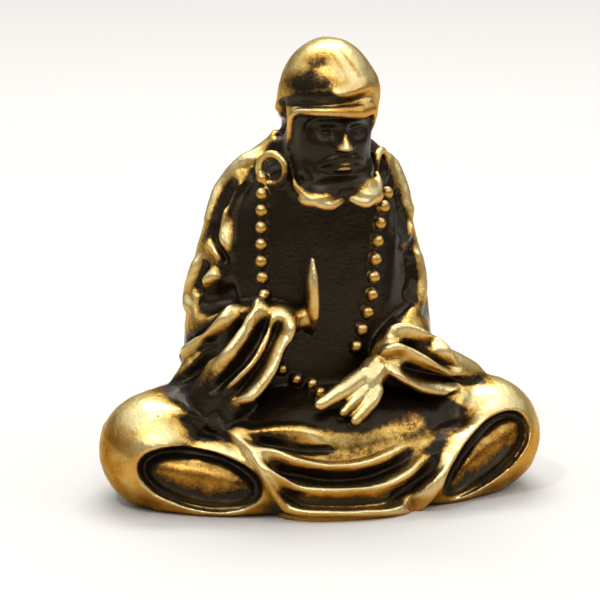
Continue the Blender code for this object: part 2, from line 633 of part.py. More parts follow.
def figure():
    form = fuse("form", body_masses() + arm_masses() + hood_masses(), rounding=14)
    carve(form, FRONT, hem_strokes())
    dish(form, FRONT, (-8.2, 0.1), length=4.7, width=2.2, tilt=-13, taper=0, depth=1.0, pad=0.95)
    dish(form, FRONT, (13.0, 1.8), length=4.3, width=1.75, tilt=46, taper=0.35, depth=1.0, pad=0.95)
    form = fuse("form", [form], rounding=2)
    carve(form, FRONT, lap_strokes() + hood_strokes() + sleeve_strokes())
    carve(form, BACK, back_strokes())
    open_face(form)
    carve(form, (HEAD_TURN, 0), face_strokes())
    surface = surface_of(form)
    details = beard() + hood_rim(surface) + earrings(surface) + beads(surface) + hands()
    return fuse("figure", [form, *details], rounding=1)


def brass():
    material = bpy.data.materials.new("brass")
    material.use_nodes = True
    shader = material.node_tree.nodes["Principled BSDF"]
    shader.inputs["Base Color"].default_value = BRASS_COLOUR
    shader.inputs["Metallic"].default_value = 1
    shader.inputs["Roughness"].default_value = BRASS_ROUGHNESS
    return material


def main():
    clear_scene()
    obj = figure()
    obj.name = "figure"
    finish(obj)
    obj.data.materials.clear()
    obj.data.materials.append(brass())
    collection = bpy.data.collections.new("seated_monk")
    bpy.context.scene.collection.children.link(collection)
    for user in list(obj.users_collection):
        user.objects.unlink(obj)
    collection.objects.link(obj)
    obj.data.shade_smooth()


main()
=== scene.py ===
"""The looks of a small cast brass monk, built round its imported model. Metres, +Z up, the figure faces -Y."""

import math

import bmesh
import bpy
import numpy as np
from mathutils import Matrix, Vector, noise
from mathutils.bvhtree import BVHTree


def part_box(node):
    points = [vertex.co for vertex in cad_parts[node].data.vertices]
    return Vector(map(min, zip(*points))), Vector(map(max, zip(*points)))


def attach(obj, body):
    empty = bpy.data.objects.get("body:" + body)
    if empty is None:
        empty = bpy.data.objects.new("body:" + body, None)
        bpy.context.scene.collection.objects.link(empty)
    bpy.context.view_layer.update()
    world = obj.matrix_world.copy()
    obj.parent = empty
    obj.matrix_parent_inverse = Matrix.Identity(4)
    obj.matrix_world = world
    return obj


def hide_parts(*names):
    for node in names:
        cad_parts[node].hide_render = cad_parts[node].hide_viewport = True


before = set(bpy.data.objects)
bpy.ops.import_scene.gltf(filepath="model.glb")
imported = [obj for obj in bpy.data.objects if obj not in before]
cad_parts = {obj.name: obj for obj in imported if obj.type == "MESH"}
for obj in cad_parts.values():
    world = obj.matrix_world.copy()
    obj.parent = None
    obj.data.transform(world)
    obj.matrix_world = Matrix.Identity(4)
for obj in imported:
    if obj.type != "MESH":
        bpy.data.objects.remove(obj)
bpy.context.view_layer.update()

# Studio
# The figure stands on plain pale paper under soft lamps and a pale sky that darkens towards the floor.
# The camera is a long lens looking slightly down at it from its own right.
AIM = Vector((0, 0.00161, 0.0155))
CAMERA_TURN = -12
CAMERA_HEIGHT = 12
CAMERA_DISTANCE = 0.26
PIXELS_PER_METRE = 13420
PICTURE = 600
AIM_PIXEL = (310, 278)
LOW_SKY = (0.20, 0.19, 0.18, 1)
HIGH_SKY = (1.1, 1.1, 1.1, 1)
BACKDROP = (0.80, 0.80, 0.79, 1)
PALE_PAPER = (0.72, 0.70, 0.67, 1)
PAPER_SIZE = 4


def from_the_figure(turn, height, distance):
    """A place round the figure: turn and height in degrees, turn 0 straight in front."""
    t = math.radians(turn)
    h = math.radians(height)
    return AIM + distance * Vector((math.sin(t) * math.cos(h), -math.cos(t) * math.cos(h), math.sin(h)))


def facing_the_figure(obj, place):
    """Puts a lamp or the camera at a place and points it at the figure."""
    obj.location = place
    obj.rotation_euler = (AIM - place).to_track_quat("-Z", "Y").to_euler()


camera = bpy.data.objects.new("camera", bpy.data.cameras.new("camera"))
bpy.context.scene.collection.objects.link(camera)
facing_the_figure(camera, from_the_figure(CAMERA_TURN, CAMERA_HEIGHT, CAMERA_DISTANCE))
camera.data.sensor_width = 36
camera.data.lens = camera.data.sensor_width * CAMERA_DISTANCE * PIXELS_PER_METRE / PICTURE
camera.data.shift_x = (PICTURE / 2 - AIM_PIXEL[0]) / PICTURE
camera.data.shift_y = (AIM_PIXEL[1] - PICTURE / 2) / PICTURE
camera.data.clip_start = 0.01
camera.data.clip_end = 10
bpy.context.scene.camera = camera
bpy.context.scene.view_settings.view_transform = "Standard"


def softbox(name, turn, height, distance, size, power):
    """A white lamp behind a rectangular screen. Size is in metres, power in watts."""
    lamp = bpy.data.lights.new(name, "AREA")
    lamp.shape = "RECTANGLE"
    lamp.size, lamp.size_y = size
    lamp.energy = power
    obj = bpy.data.objects.new(name, lamp)
    bpy.context.scene.collection.objects.link(obj)
    facing_the_figure(obj, from_the_figure(turn, height, distance))


softbox("window", 170, 62, 0.34, (0.24, 0.10), 0.6)
softbox("key_lamp", -42, 50, 0.32, (0.02, 0.02), 0.19)
softbox("side_lamp", 62, 34, 0.34, (0.018, 0.018), 0.07)
softbox("front_lamp", -6, 36, 0.36, (0.016, 0.016), 0.09)

# The lamps and this sky light the figure, but the camera sees an even backdrop in the sky's place
world = bpy.data.worlds.new("studio")
bpy.context.scene.world = world
world.use_nodes = True
sky = world.node_tree.nodes["Background"]
backdrop = world.node_tree.nodes.new("ShaderNodeBackground")
backdrop.inputs["Color"].default_value = BACKDROP
sky.inputs["Strength"].default_value = 1
direction = world.node_tree.nodes.new("ShaderNodeTexCoord")
height = world.node_tree.nodes.new("ShaderNodeSeparateXYZ")
fade = world.node_tree.nodes.new("ShaderNodeValToRGB")
fade.color_ramp.elements[0].position = 0.2
fade.color_ramp.elements[0].color = LOW_SKY
fade.color_ramp.elements[1].position = 0.7
fade.color_ramp.elements[1].color = HIGH_SKY
ray = world.node_tree.nodes.new("ShaderNodeLightPath")
either = world.node_tree.nodes.new("ShaderNodeMixShader")
link = world.node_tree.links.new
link(direction.outputs["Generated"], height.inputs[0])
link(height.outputs["Z"], fade.inputs["Fac"])
link(fade.outputs["Color"], sky.inputs["Color"])
link(ray.outputs["Is Camera Ray"], either.inputs["Fac"])
link(sky.outputs[0], either.inputs[1])
link(backdrop.outputs[0], either.inputs[2])
link(either.outputs[0], world.node_tree.nodes["World Output"].inputs["Surface"])

bpy.ops.mesh.primitive_plane_add(size=PAPER_SIZE)
floor = bpy.context.object
floor.name = "floor"
paper = bpy.data.materials.new("pale_paper")
paper.use_nodes = True
paper.node_tree.nodes["Principled BSDF"].inputs["Base Color"].default_value = PALE_PAPER
paper.node_tree.nodes["Principled BSDF"].inputs["Roughness"].default_value = 0.7
floor.data.materials.append(paper)

# Seat and trunk
# The monk sits cross-legged and upright inside one loose robe. Trunk, legs and the cloth stretched
# between the knees are modelled in wax as plain full masses, later cast with all the rest in brass.
HEIGHT = 0.034
UNIT = HEIGHT / 34
SIDES = {"right": -1, "left": 1}  # the figure's own right and left
LOFT_SIDES = 48


def at(x, y, z):
    """A place on the figure, in units."""
    return Vector((x, y, z)) * UNIT


def curve_through(points, steps=6):
    """A smooth line through the given points, as an array of places."""
    knots = [Vector(p) for p in points]
    knots = [2 * knots[0] - knots[1], *knots, 2 * knots[-1] - knots[-2]]
    line = []
    for a, b, c, d in zip(knots, knots[1:], knots[2:], knots[3:]):
        for step in range(steps):
            t = step / steps
            line.append(
                0.5 * (2 * b + (c - a) * t + (2 * a - 5 * b + 4 * c - d) * t**2
                       + (3 * b - a - 3 * c + d) * t**3)
            )
    line.append(knots[-2])
    return np.array([tuple(p) for p in line])


def ball(centre, radii, turn=(0, 0, 0)):
    """An ellipsoid. Centre and radii are in units, turn in degrees."""
    bpy.ops.mesh.primitive_uv_sphere_add(segments=40, ring_count=24, radius=1)
    obj = bpy.context.object
    obj.location = at(*centre)
    obj.scale = Vector(radii) * UNIT
    obj.rotation_euler = [math.radians(a) for a in turn]
    return obj


def limb(points, radii, flat=1.0):
    """A tapering bar with rounded ends along points given in units. Flat squeezes it sideways."""
    line = curve_through([at(*p) for p in points])
    share = np.linspace(0, len(radii) - 1, len(line))
    thick = np.interp(share, range(len(radii)), radii) * UNIT
    rounded = [math.radians(a) for a in (85, 60, 30)]  # steps of each rounded end
    start = (line[0] - line[1]) / np.linalg.norm(line[0] - line[1])
    end = (line[-1] - line[-2]) / np.linalg.norm(line[-1] - line[-2])
    places = [line[0] + start * thick[0] * math.sin(a) for a in rounded]
    widths = [thick[0] * math.cos(a) for a in rounded]
    places += list(line)
    widths += list(thick)
    places += [line[-1] + end * thick[-1] * math.sin(a) for a in reversed(rounded)]
    widths += [thick[-1] * math.cos(a) for a in reversed(rounded)]
    curve = bpy.data.curves.new("limb", "CURVE")
    curve.dimensions = "3D"
    curve.bevel_depth = 1
    curve.bevel_resolution = 5
    curve.use_fill_caps = True
    spline = curve.splines.new("POLY")
    spline.points.add(len(places) - 1)
    middle = line.mean(0)
    for point, place, width in zip(spline.points, places, widths):
        point.co = (place[0] - middle[0], place[1] - middle[1], place[2] - middle[2], 1)
        point.radius = width
    obj = bpy.data.objects.new("limb", curve)
    obj.location = middle
    obj.scale = (flat, 1, 1)
    bpy.context.scene.collection.objects.link(obj)
    return obj


def loft(sections, squareness=2.5):
    """A closed skin through level oval sections, listed upwards as (z, half width, front, back, x)."""
    shape = bmesh.new()
    rings = []
    for z, half, front, back, x in sections:
        middle = (front + back) / 2
        deep = (back - front) / 2
        ring = []
        for k in range(LOFT_SIDES):
            a = 2 * math.pi * k / LOFT_SIDES
            c, s = math.cos(a), math.sin(a)
            r = (abs(c) ** squareness + abs(s) ** squareness) ** (-1 / squareness)
            ring.append(shape.verts.new(at(x + half * r * c, middle + deep * r * s, z)))
        rings.append(ring)
    for low, high in zip(rings, rings[1:]):
        for k in range(LOFT_SIDES):
            n = (k + 1) % LOFT_SIDES
            shape.faces.new((low[k], low[n], high[n], high[k]))
    shape.faces.new(list(reversed(rings[0])))
    shape.faces.new(rings[-1])
    mesh = bpy.data.meshes.new("loft")
    shape.to_mesh(mesh)
    shape.free()
    obj = bpy.data.objects.new("loft", mesh)
    bpy.context.scene.collection.objects.link(obj)
    return obj


seat_and_trunk = [
    (-1.5, 9.6, -6, 8.2, 0), (1, 10.4, -6, 8.9, 0), (4, 10.4, -6, 8.9, 0), (7, 9.5, -5.6, 8.2, 0),
    (10, 8.8, -5.2, 7.4, 0), (13, 8.3, -5.0, 6.8, 0), (16, 7.8, -4.9, 6.4, 0), (19, 7.1, -4.7, 6.1, 0),
    (21.5, 6.1, -4.4, 5.7, 0), (23, 5.1, -4.3, 5.2, 0.1), (24.5, 4.0, -4.2, 4.2, 0.3),
]
apron = [
    (-1.5, 4.9, -11.6, -4, 0.3), (0, 5.0, -11.8, -4, 0.3), (1.5, 5.6, -11.7, -4, 0.3),
    (3, 6.3, -11.3, -4, 0.3), (4.6, 6.6, -10.4, -4, 0.3), (6.0, 5.8, -9.1, -4, 0.3),
    (7.0, 4.4, -7.6, -4, 0.3),
]
seat = [loft(seat_and_trunk), loft(apron), ball((0, -4.4, 4.6), (10.5, 5.8, 4.1))]
for side in SIDES.values():
    seat += [
        limb([(4 * side, -1, 4.4), (8.5 * side, -2.6, 4.6), (12.3 * side, -3.7, 4.3)], [4.2, 4.3, 4.1]),
        limb([(6 * side, 4.4, 3.4), (10 * side, 1.6, 3.6), (12.6 * side, -1.6, 3.8)], [4.0, 3.9, 3.7]),
        ball((12.3 * side, -4.1, 4.0), (4.3, 4.7, 4.35)),
        limb([(12 * side, -5.3, 2.8), (8 * side, -7.5, 2.7), (3 * side, -8.6, 2.7)], [3.2, 3.1, 2.7]),
    ]

# Arms and sleeves
# Both arms hang inside wide sleeves, the right one lifted before the chest and the left one resting on
# the lap. They are wax rolls laid on the trunk, with their folds worked in further down.
arms = [
    limb([(-4.7, 0.9, 21.3), (-5.7, 0.5, 18.6), (-6.3, 0, 15.4), (-6.6, -0.6, 12.2), (-6.8, -0.8, 9.4)],
         [2.4, 2.5, 2.8, 3.0, 3.0]),
    limb([(-6.6, -1.2, 11.8), (-5.6, -4.0, 12.6), (-3.4, -5.9, 13.6)], [2.9, 2.3, 1.5]),
    limb([(-3.9, -6.1, 12.8), (-5.5, -6.6, 10.4), (-7.0, -6.8, 8.2), (-8.1, -6.7, 6.4)],
         [1.3, 1.55, 1.35, 0.8]),
    limb([(-5.4, -5.0, 11.8), (-7.0, -5.5, 9.6), (-8.6, -5.2, 7.8), (-9.8, -4.6, 6.4)],
         [2.1, 2.2, 1.8, 1.0]),
    limb([(-7.0, -2.8, 10.8), (-8.8, -3.2, 9.0), (-10.2, -2.9, 7.8), (-11.4, -2.4, 6.8)],
         [2.2, 2.0, 1.4, 0.8]),
    limb([(5.0, 0.9, 21.8), (5.6, 0.5, 18.8), (6.1, 0, 15.4), (6.3, -0.4, 12.2), (6.5, -0.8, 10)],
         [2.3, 2.5, 2.7, 2.8, 2.7]),
    limb([(6.3, -1.0, 11.6), (6.0, -4.2, 11.2), (4.5, -6.4, 10.8)], [2.7, 2.2, 1.4]),
    limb([(4.8, -6.4, 10.0), (8.1, -5.1, 9.5), (11.2, -3.8, 8.2), (12.8, -2.9, 6.8)],
         [1.7, 1.8, 1.35, 0.7]),
]

# Strokes of the modeller's tool: shape, places on a drawing seen from the front, width, height
right_arm = [
    ("fold", [(-3.43, 24.85), (-5.29, 23.66), (-6.71, 21.87), (-7.38, 19.93), (-7.68, 18)], 0.85, 0.45),
    ("fold", [(-5.22, 22.76), (-6.04, 21.27), (-6.71, 19.49), (-7, 18.14)], 0.7, -0.4),
    ("fold", [(-5.74, 20.53), (-6.26, 19.04), (-6.26, 17.25)], 0.7, 0.4),
    ("fold", [(-7.38, 18.74), (-6.71, 17.55), (-6.04, 16.21)], 0.4, -0.45),
    ("fold", [(-7.75, 18), (-7, 17.1), (-6.41, 16.21)], 0.6, 0.35),
    ("edge", [(-5.81, 16.36), (-5.81, 18), (-5.66, 19.93), (-5.22, 21.57), (-4.32, 22.91)], 1.8, 0.6),
    ("fold", [(-8.05, 17.1), (-8.79, 15.31), (-9.09, 13.82), (-9.02, 12.33)], 0.8, 0.4),
    ("fold", [(-7.75, 16.65), (-8.27, 15.31), (-8.64, 13.82)], 0.8, -0.5),
    ("fold", [(-8.27, 15.09), (-7.53, 15.24), (-6.71, 15.61)], 0.7, 0.3),
    ("fold", [(-8.79, 13.38), (-7.3, 13.52), (-5.22, 14.12)], 1.4, -0.9),
]
right_sleeve = [
    ("fold", [(-5.22, 13.38), (-6.41, 11.89), (-7.97, 10.47), (-10.13, 8.68)], 0.75, 0.7),
    ("fold", [(-3.95, 13.82), (-3.73, 12.63), (-4.55, 11.59), (-5.59, 9.87), (-7.38, 7.94)], 0.8, 0.85),
    ("fold", [(-2.91, 11.14), (-3.95, 9.13), (-5.22, 7.79), (-6.86, 6.52)], 0.45, 0.35),
    ("fold", [(-1.49, 12.93), (-1.64, 11.29), (-2.46, 9.95), (-3.2, 8.16), (-4.47, 6.52), (-5.51, 5.63)],
     0.65, 0.85),
    ("fold", [(-4.69, 12.93), (-5.74, 10.99), (-7.97, 8.9), (-10.43, 6.97)], 0.7, -0.85),
    ("fold", [(-3.2, 13.08), (-3.95, 10.69), (-5.74, 8.16), (-7.82, 6.37)], 0.6, -0.75),
    ("fold", [(-2.16, 12.48), (-2.91, 10.1), (-4.1, 8.08), (-6.11, 5.92)], 0.55, -0.75),
    ("fold", [(-6.63, 12.63), (-7.75, 11.29), (-9.54, 9.8)], 0.6, -0.5),
]
left_arm = [
    ("fold", [(5.59, 24.48), (6.56, 23.58), (7.08, 22.24), (7.38, 20.6), (7.45, 19.19)], 0.8, 0.4),
    ("fold", [(7.53, 19.41), (7.15, 18.29), (6.56, 16.8)], 0.6, 0.4),
    ("fold", [(7.6, 17.85), (8.12, 16.36), (8.35, 14.72), (8.05, 13.3), (7, 11.96)], 0.8, 0.4),
    ("fold", [(6.48, 22.02), (6.63, 20.23), (6.48, 18.29)], 0.7, -0.5),
    ("fold", [(7.3, 16.8), (7.53, 15.01), (7, 13.38)], 0.8, -0.5),
    ("edge", [(6.11, 22.84), (6.11, 19.86), (6.04, 17.25), (5.81, 14.27), (5.37, 11.66)], 1.4, 0.25),
]
left_sleeve = [
    ("fold", [(5.37, 10.77), (7.08, 11.29), (8.94, 10.39), (11.03, 8.83)], 0.75, 0.7),
    ("fold", [(4.92, 9.5), (6.63, 9.8), (8.79, 8.76), (11.77, 7.79)], 0.6, 0.75),
    ("fold", [(5.37, 8.76), (7.38, 7.49), (9.46, 6.97), (11.62, 7.12)], 0.6, 0.7),
    ("fold", [(6.56, 10.47), (8.49, 9.65), (11.33, 8.01)], 0.6, -0.9),
    ("fold", [(6.71, 8.76), (8.79, 7.79), (11.77, 7.27)], 0.6, -0.95),
]
sleeve_folds = right_arm + right_sleeve + left_arm + left_sleeve

# Hood
# A smooth round hood covers the head and falls on the shoulders in one piece with the robe. The head
# is turned a little to its own left. The folds round the brow are strokes of the tool too.
HEAD_AXIS = (0.8, -2.8)
HEAD_TURN = 7

hood_fall = [
    (21.4, 5.4, -4.2, 5.4, 0), (23.4, 4.2, -4.8, 4.4, 0.2), (24.9, 3.35, -5.4, 3.2, 0.5),
    (26.4, 3.15, -6.1, 2.2, 0.65), (28, 3.2, -6.6, 1.7, 0.7), (29.6, 3.45, -6.7, 1.5, 0.75),
    (31, 2.9, -5.8, 0.8, 0.8),
]
hood = [
    loft(hood_fall, squareness=2.3),
    ball((HEAD_AXIS[0] - 0.05, HEAD_AXIS[1] + 0.1, 29.3), (3.7, 4.3, 4.65), (0, 2, 0)),
    ball((HEAD_AXIS[0] + 1.75, HEAD_AXIS[1] - 0.2, 30.05), (2.0, 3.0, 2.35)),
    limb([(-2.2, -0.2, 25.6), (-3.9, 0.4, 23.4), (-5.4, 0.8, 20.8)], [1.2, 1.8, 2.0]),
    limb([(3.2, -0.2, 25.6), (4.5, 0.4, 23.6), (5.6, 0.8, 21.2)], [1.2, 1.9, 2.0]),
]
hood_folds = [
    ("fold", [(-1.94, 28.13), (-0.37, 28.06), (1.34, 28.06), (2.53, 28.2), (3.73, 28.5), (5.22, 29.1)],
     0.55, -0.42),
    ("fold", [(1.49, 28.73), (2.98, 28.95), (4.77, 29.77)], 0.8, 0.22),
    ("fold", [(-2.16, 28.73), (-2.09, 26.94), (-2.38, 25.3)], 0.8, -0.55),
    ("edge", [(-2.46, 24.7), (-2.53, 26.34), (-2.38, 27.83), (-2.01, 28.58)], 0.8, 0.2),
]

# Wax body
# The masses are melted together into one skin and rounded off, as a modeller does with a warm tool
# before any fold is worked in.
VOXEL = 0.11 * UNIT


def settle(obj):
    """Makes what the modifiers show the object's own mesh."""
    bpy.context.view_layer.update()
    graph = bpy.context.evaluated_depsgraph_get()
    mesh = bpy.data.meshes.new_from_object(obj.evaluated_get(graph))
    old = obj.data
    obj.modifiers.clear()
    obj.data = mesh
    bpy.data.meshes.remove(old)


def fuse(name, pieces, rounding):
    """One closed skin round all the pieces, remeshed and then rounded off by smoothing."""
    bpy.context.view_layer.update()
    graph = bpy.context.evaluated_depsgraph_get()
    together = bmesh.new()
    for piece in pieces:
        mesh = bpy.data.meshes.new_from_object(piece.evaluated_get(graph))
        mesh.transform(piece.matrix_world)
        together.from_mesh(mesh)
        bpy.data.meshes.remove(mesh)
    bmesh.ops.remove_doubles(together, verts=together.verts, dist=1e-4 * UNIT)
    mesh = bpy.data.meshes.new(name)
    together.to_mesh(mesh)
    together.free()
    obj = bpy.data.objects.new(name, mesh)
    bpy.context.scene.collection.objects.link(obj)
    skin = obj.modifiers.new("skin", "REMESH")
    skin.mode = "VOXEL"
    skin.voxel_size = VOXEL
    if rounding:
        smooth = obj.modifiers.new("rounding", "SMOOTH")
        smooth.factor = 0.5
        smooth.iterations = rounding
    settle(obj)
    for piece in pieces:
        bpy.data.objects.remove(piece, do_unlink=True)
    return obj


form = fuse("form", seat + arms + hood, rounding=30)

# Hem and knee hollows
# The robe's hem runs from knee to knee over the shins. In front of each knee an oval hollow is cut,
# with a smooth pad left standing in it, parted from its wall by a narrow groove.
FRONT = (-12, 12)  # where the front drawing is seen from: turn and height in degrees
DRAWING_DISTANCE = 260
MIDDLE_HEIGHT = 15.5  # how high on the figure the middle of each drawing lies
ORIGIN_DROP = 15.16  # how far below its middle each drawing's origin lies
GROOVE = 0.6
WORKED_DEPTH = 2.5


def points_of(mesh):
    """The mesh's points as an array, in metres."""
    found = np.empty(len(mesh.vertices) * 3, np.float32)
    mesh.vertices.foreach_get("co", found)
    return found.reshape(-1, 3).astype(float)


def normals_of(mesh):
    """The outward direction at each point of the mesh."""
    found = np.empty(len(mesh.vertices) * 3, np.float32)
    mesh.vertices.foreach_get("normal", found)
    return found.reshape(-1, 3).astype(float)


def calm_normals(mesh, rounds=18):
    """Normals averaged with their neighbours', so that strokes may cross steep places."""
    ends = np.empty(len(mesh.edges) * 2, np.int32)
    mesh.edges.foreach_get("vertices", ends)
    ends = ends.reshape(-1, 2)
    normals = normals_of(mesh)
    for _ in range(rounds):
        total = normals.copy()
        for axis in range(3):
            total[:, axis] += np.bincount(ends[:, 0], normals[ends[:, 1], axis], len(normals))
            total[:, axis] += np.bincount(ends[:, 1], normals[ends[:, 0], axis], len(normals))
        normals = total / np.maximum(np.linalg.norm(total, axis=1), 1e-9)[:, None]
    return normals


def move_points(mesh, points):
    """Gives the mesh's points new places, in metres."""
    mesh.vertices.foreach_set("co", points.astype(np.float32).ravel())
    mesh.update()


def surface_of(obj):
    """The object's skin, ready for places to be thrown onto it."""
    bpy.context.view_layer.update()
    return BVHTree.FromObject(obj, bpy.context.evaluated_depsgraph_get())


def drawing(view):
    """The eye, the drawing's origin, and its across and up directions."""
    turn, height = (math.radians(a) for a in view)
    back = Vector(
        (math.sin(turn) * math.cos(height), -math.cos(turn) * math.cos(height), math.sin(height))
    )
    across = Vector((math.cos(turn), math.sin(turn), 0))
    up = back.cross(across)
    target = at(0, 0, MIDDLE_HEIGHT) - up * ORIGIN_DROP * UNIT
    return target + up * ORIGIN_DROP * UNIT + back * DRAWING_DISTANCE * UNIT, target, across, up


def thrown(surface, view, places, lift=0):
    """Places of a drawing thrown onto the form, raised from it by lift units."""
    eye, target, across, up = drawing(view)
    found = []
    for u, v in places:
        aim = target + (across * u + up * v) * UNIT
        place, normal, _, _ = surface.ray_cast(eye, (aim - eye).normalized())
        if place is None:
            place, normal, _, _ = surface.find_nearest(aim)
        found.append((place + normal * lift * UNIT) / UNIT)
    return found


def eased(share):
    """A share from 0 to 1 that leaves and arrives gently."""
    return share * share * (3 - 2 * share)


def on_drawing(points, view):
    """Where points are seen on a drawing, across and up in units, and the direction it is seen from."""
    eye, target, across, up = (np.array(v) for v in drawing(view))
    facing = np.cross(across, up)
    ray = points - eye
    flat = eye + ray * (((target - eye) @ facing) / (ray @ facing))[:, None] - target
    return flat @ across / UNIT, flat @ up / UNIT, facing


def carve(obj, view, strokes):
    """Works strokes into the surface, as a modeller works wax. A stroke is (shape, places, width, height).

    A fold is a rounded ridge, or a groove where its height is below nought. An edge is the border of
    a layer of cloth: full height at the line, dying away over width on the left of its direction, and
    a sharp step down on its right. Width and height are in units.
    """
    mesh = obj.data
    surface = surface_of(obj)
    points = points_of(mesh)
    normals = calm_normals(mesh)
    moved = np.zeros(len(points))
    for shape, places, width, height in strokes:
        flat = curve_through([(u, v, 0) for u, v in places])
        line = np.array([tuple(p) for p in thrown(surface, view, flat[:, :2])]) * UNIT
        reach = width * UNIT
        low = line.min(0) - reach
        high = line.max(0) + reach
        near = np.flatnonzero(((points > low) & (points < high)).all(1))
        if not len(near):
            continue
        run = np.diff(line, axis=0)
        offset = points[near][:, None] - line[:-1]
        share = np.clip((offset * run).sum(2) / np.maximum((run**2).sum(1), 1e-18), 0, 1)
        gap = offset - share[..., None] * run
        distance = np.linalg.norm(gap, axis=2)
        nearest = distance.argmin(1)
        pick = np.arange(len(near))
        along = (nearest + share[pick, nearest]) / len(run)
        distance = distance[pick, nearest] / reach
        ends = eased(np.clip(np.minimum(along, 1 - along) * 5, 0, 1))
        if shape == "fold":
            rise = np.clip(1 - distance**2, 0, 1) ** 2
        else:
            across = np.cross(normals[near], run[nearest])
            inside = (across * gap[pick, nearest]).sum(1) > 0
            slope = eased(np.clip(1 - distance, 0, 1))
            rise = np.where(inside, slope, np.clip(1 - distance * 4, 0, 1))
        moved[near] += height * UNIT * rise * ends
    move_points(mesh, points + normals * moved[:, None])


def dish(obj, view, centre, length, width, tilt, taper, depth, pad):
    """Sinks an oval hollow with a smooth domed pad standing in it, a groove's width from its wall.

    Tilt is in degrees, the rest in units. Taper makes the oval fuller at one end and narrower at the
    other. The hollow's floor lies at depth below an even level laid through the skin inside the oval.
    """
    mesh = obj.data
    points = points_of(mesh)
    u, v, facing = on_drawing(points, view)
    u = u - centre[0]
    v = v - centre[1]
    c = math.cos(math.radians(tilt))
    s = math.sin(math.radians(tilt))
    along = (u * c + v * s) / length
    aside = (v * c - u * s) / (1 + taper * np.clip(along, -1, 1))
    far = np.hypot(along, aside / width)
    in_pad = np.hypot(along * length / (length - GROOVE), aside / (width - GROOVE))
    front = normals_of(mesh) @ facing
    level = points @ facing / UNIT
    inside = (front > 0.05) & (far < 1)
    inside &= level > np.percentile(level[inside], 75) - WORKED_DEPTH
    bend = np.stack([np.ones(len(u)), u, v, u * u, u * v, v * v], 1)
    even = bend @ np.linalg.lstsq(bend[inside], level[inside], rcond=None)[0]
    near = (abs(level - even) < WORKED_DEPTH) & (front > -0.4)
    hollow = eased(np.clip((1.05 - far) / 0.12, 0, 1))
    dome = np.sqrt(np.clip(1 - in_pad**2, 0, 1))
    moved = (even - depth + pad * dome - level) * hollow * near
    move_points(mesh, points + facing * (moved * UNIT)[:, None])


hem = [
    (-13.71, 4.58), (-10.8, 5.1), (-7.9, 4.14), (-4.84, 2.35), (-2.98, -0.41), (-1.27, -2.12),
    (2.98, -2.35), (6.71, -2.2), (8.2, -1.6), (9.69, -0.04), (11.4, 2.12), (13.04, 3.99),
    (14.38, 4.88), (16.1, 5.55),
]
carve(form, FRONT, [("edge", hem, 1.7, 0.7)])
dish(form, FRONT, (-8.2, 0.11), length=4.7, width=2.2, tilt=-13, taper=0, depth=1.0, pad=0.95)
dish(form, FRONT, (12.97, 1.75), length=4.3, width=1.75, tilt=46, taper=0.35, depth=1.0, pad=0.95)
form = fuse("form", [form], rounding=5)

# Folds in front
# The cloth of the lap sags from knee to knee in long folds with deep valleys between them. They are
# worked into the wax together with the folds of the hood and sleeves.
first_fold = [
    (-4.84, 2.79), (-2.61, 1.97), (-0.67, 1.3), (1.56, 1.01), (3.5, 1.15), (5.29, 1.68), (7.3, 2.65),
]
first_valley = [(-3.87, 2.05), (-1.86, 0.78), (1.12, 0.19), (4.1, 0.34), (6.33, 1.15), (8.49, 2.94)]
second_fold = [
    (-3.95, 1.75), (-2.61, 0.63), (-0.97, -0.41), (1.27, -0.71),
    (4.1, -0.56), (5.89, -0.11), (7.82, 1.01), (9.54, 2.65),
]
second_valley = [
    (-3.13, 0.41), (-1.27, -1.3), (1.49, -1.6), (4.47, -1.53), (6.71, -1.08), (8.79, 0.56), (10.43, 2.5),
]
lap_folds = [
    ("fold", [(-6.11, 4.43), (-4.62, 3.54), (-2.53, 3.76), (-0.45, 3.69), (1.19, 2.94)], 0.8, 0.4),
    ("fold", [(-4.62, 3.17), (-2.61, 2.72), (-0.15, 2.35), (2.24, 2.42)], 0.5, -0.35),
    ("fold", first_fold, 0.6, 0.6),
    ("fold", first_valley, 0.8, -0.85),
    ("fold", second_fold, 0.55, 0.5),
    ("fold", second_valley, 0.75, -0.8),
]
carve(form, FRONT, lap_folds + hood_folds + sleeve_folds)

# Folds behind
# From the shoulders the robe falls in soft folds that spread a little towards the seat, where its hem
# lies round the figure. They are worked into the wax from behind.
BACK = (180, 8)

back_folds = [
    ("fold", [(-3.9, 22), (-4.9, 18), (-5.6, 12), (-7.6, 6.5), (-9.8, 4)], 1.7, 0.4),
    ("fold", [(-2.1, 21), (-2.8, 16), (-2.3, 10), (-3.9, 4.5)], 1.5, 0.35),
    ("fold", [(0.5, 22.5), (0.0, 17), (0.7, 11), (0.1, 6), (0.9, 3)], 1.5, 0.3),
    ("fold", [(2.6, 21.5), (2.7, 16), (3.5, 10.5), (3.6, 5)], 1.5, 0.35),
    ("fold", [(4.3, 22.5), (5.2, 18), (6.1, 12), (7.7, 6.5), (9.8, 3.6)], 1.7, 0.4),
    ("fold", [(-3.2, 22), (-3.9, 16), (-3.8, 10), (-5.4, 5)], 1.1, -0.45),
    ("fold", [(-0.9, 21.5), (-1.2, 16), (-0.8, 9), (-1.5, 4)], 1.0, -0.35),
    ("fold", [(1.5, 22), (1.4, 15), (2.1, 9), (1.9, 4)], 1.0, -0.35),
    ("fold", [(3.7, 22), (4.0, 16), (4.5, 10), (5.5, 5)], 1.1, -0.45),
    ("fold", [(-2.6, 24.6), (0, 23.2), (2.8, 24.6)], 1.0, 0.45),
    ("edge", [(12, 1.6), (6, 1.0), (0, 0.9), (-6, 1.0), (-12, 1.6)], 1.6, 0.3),
]
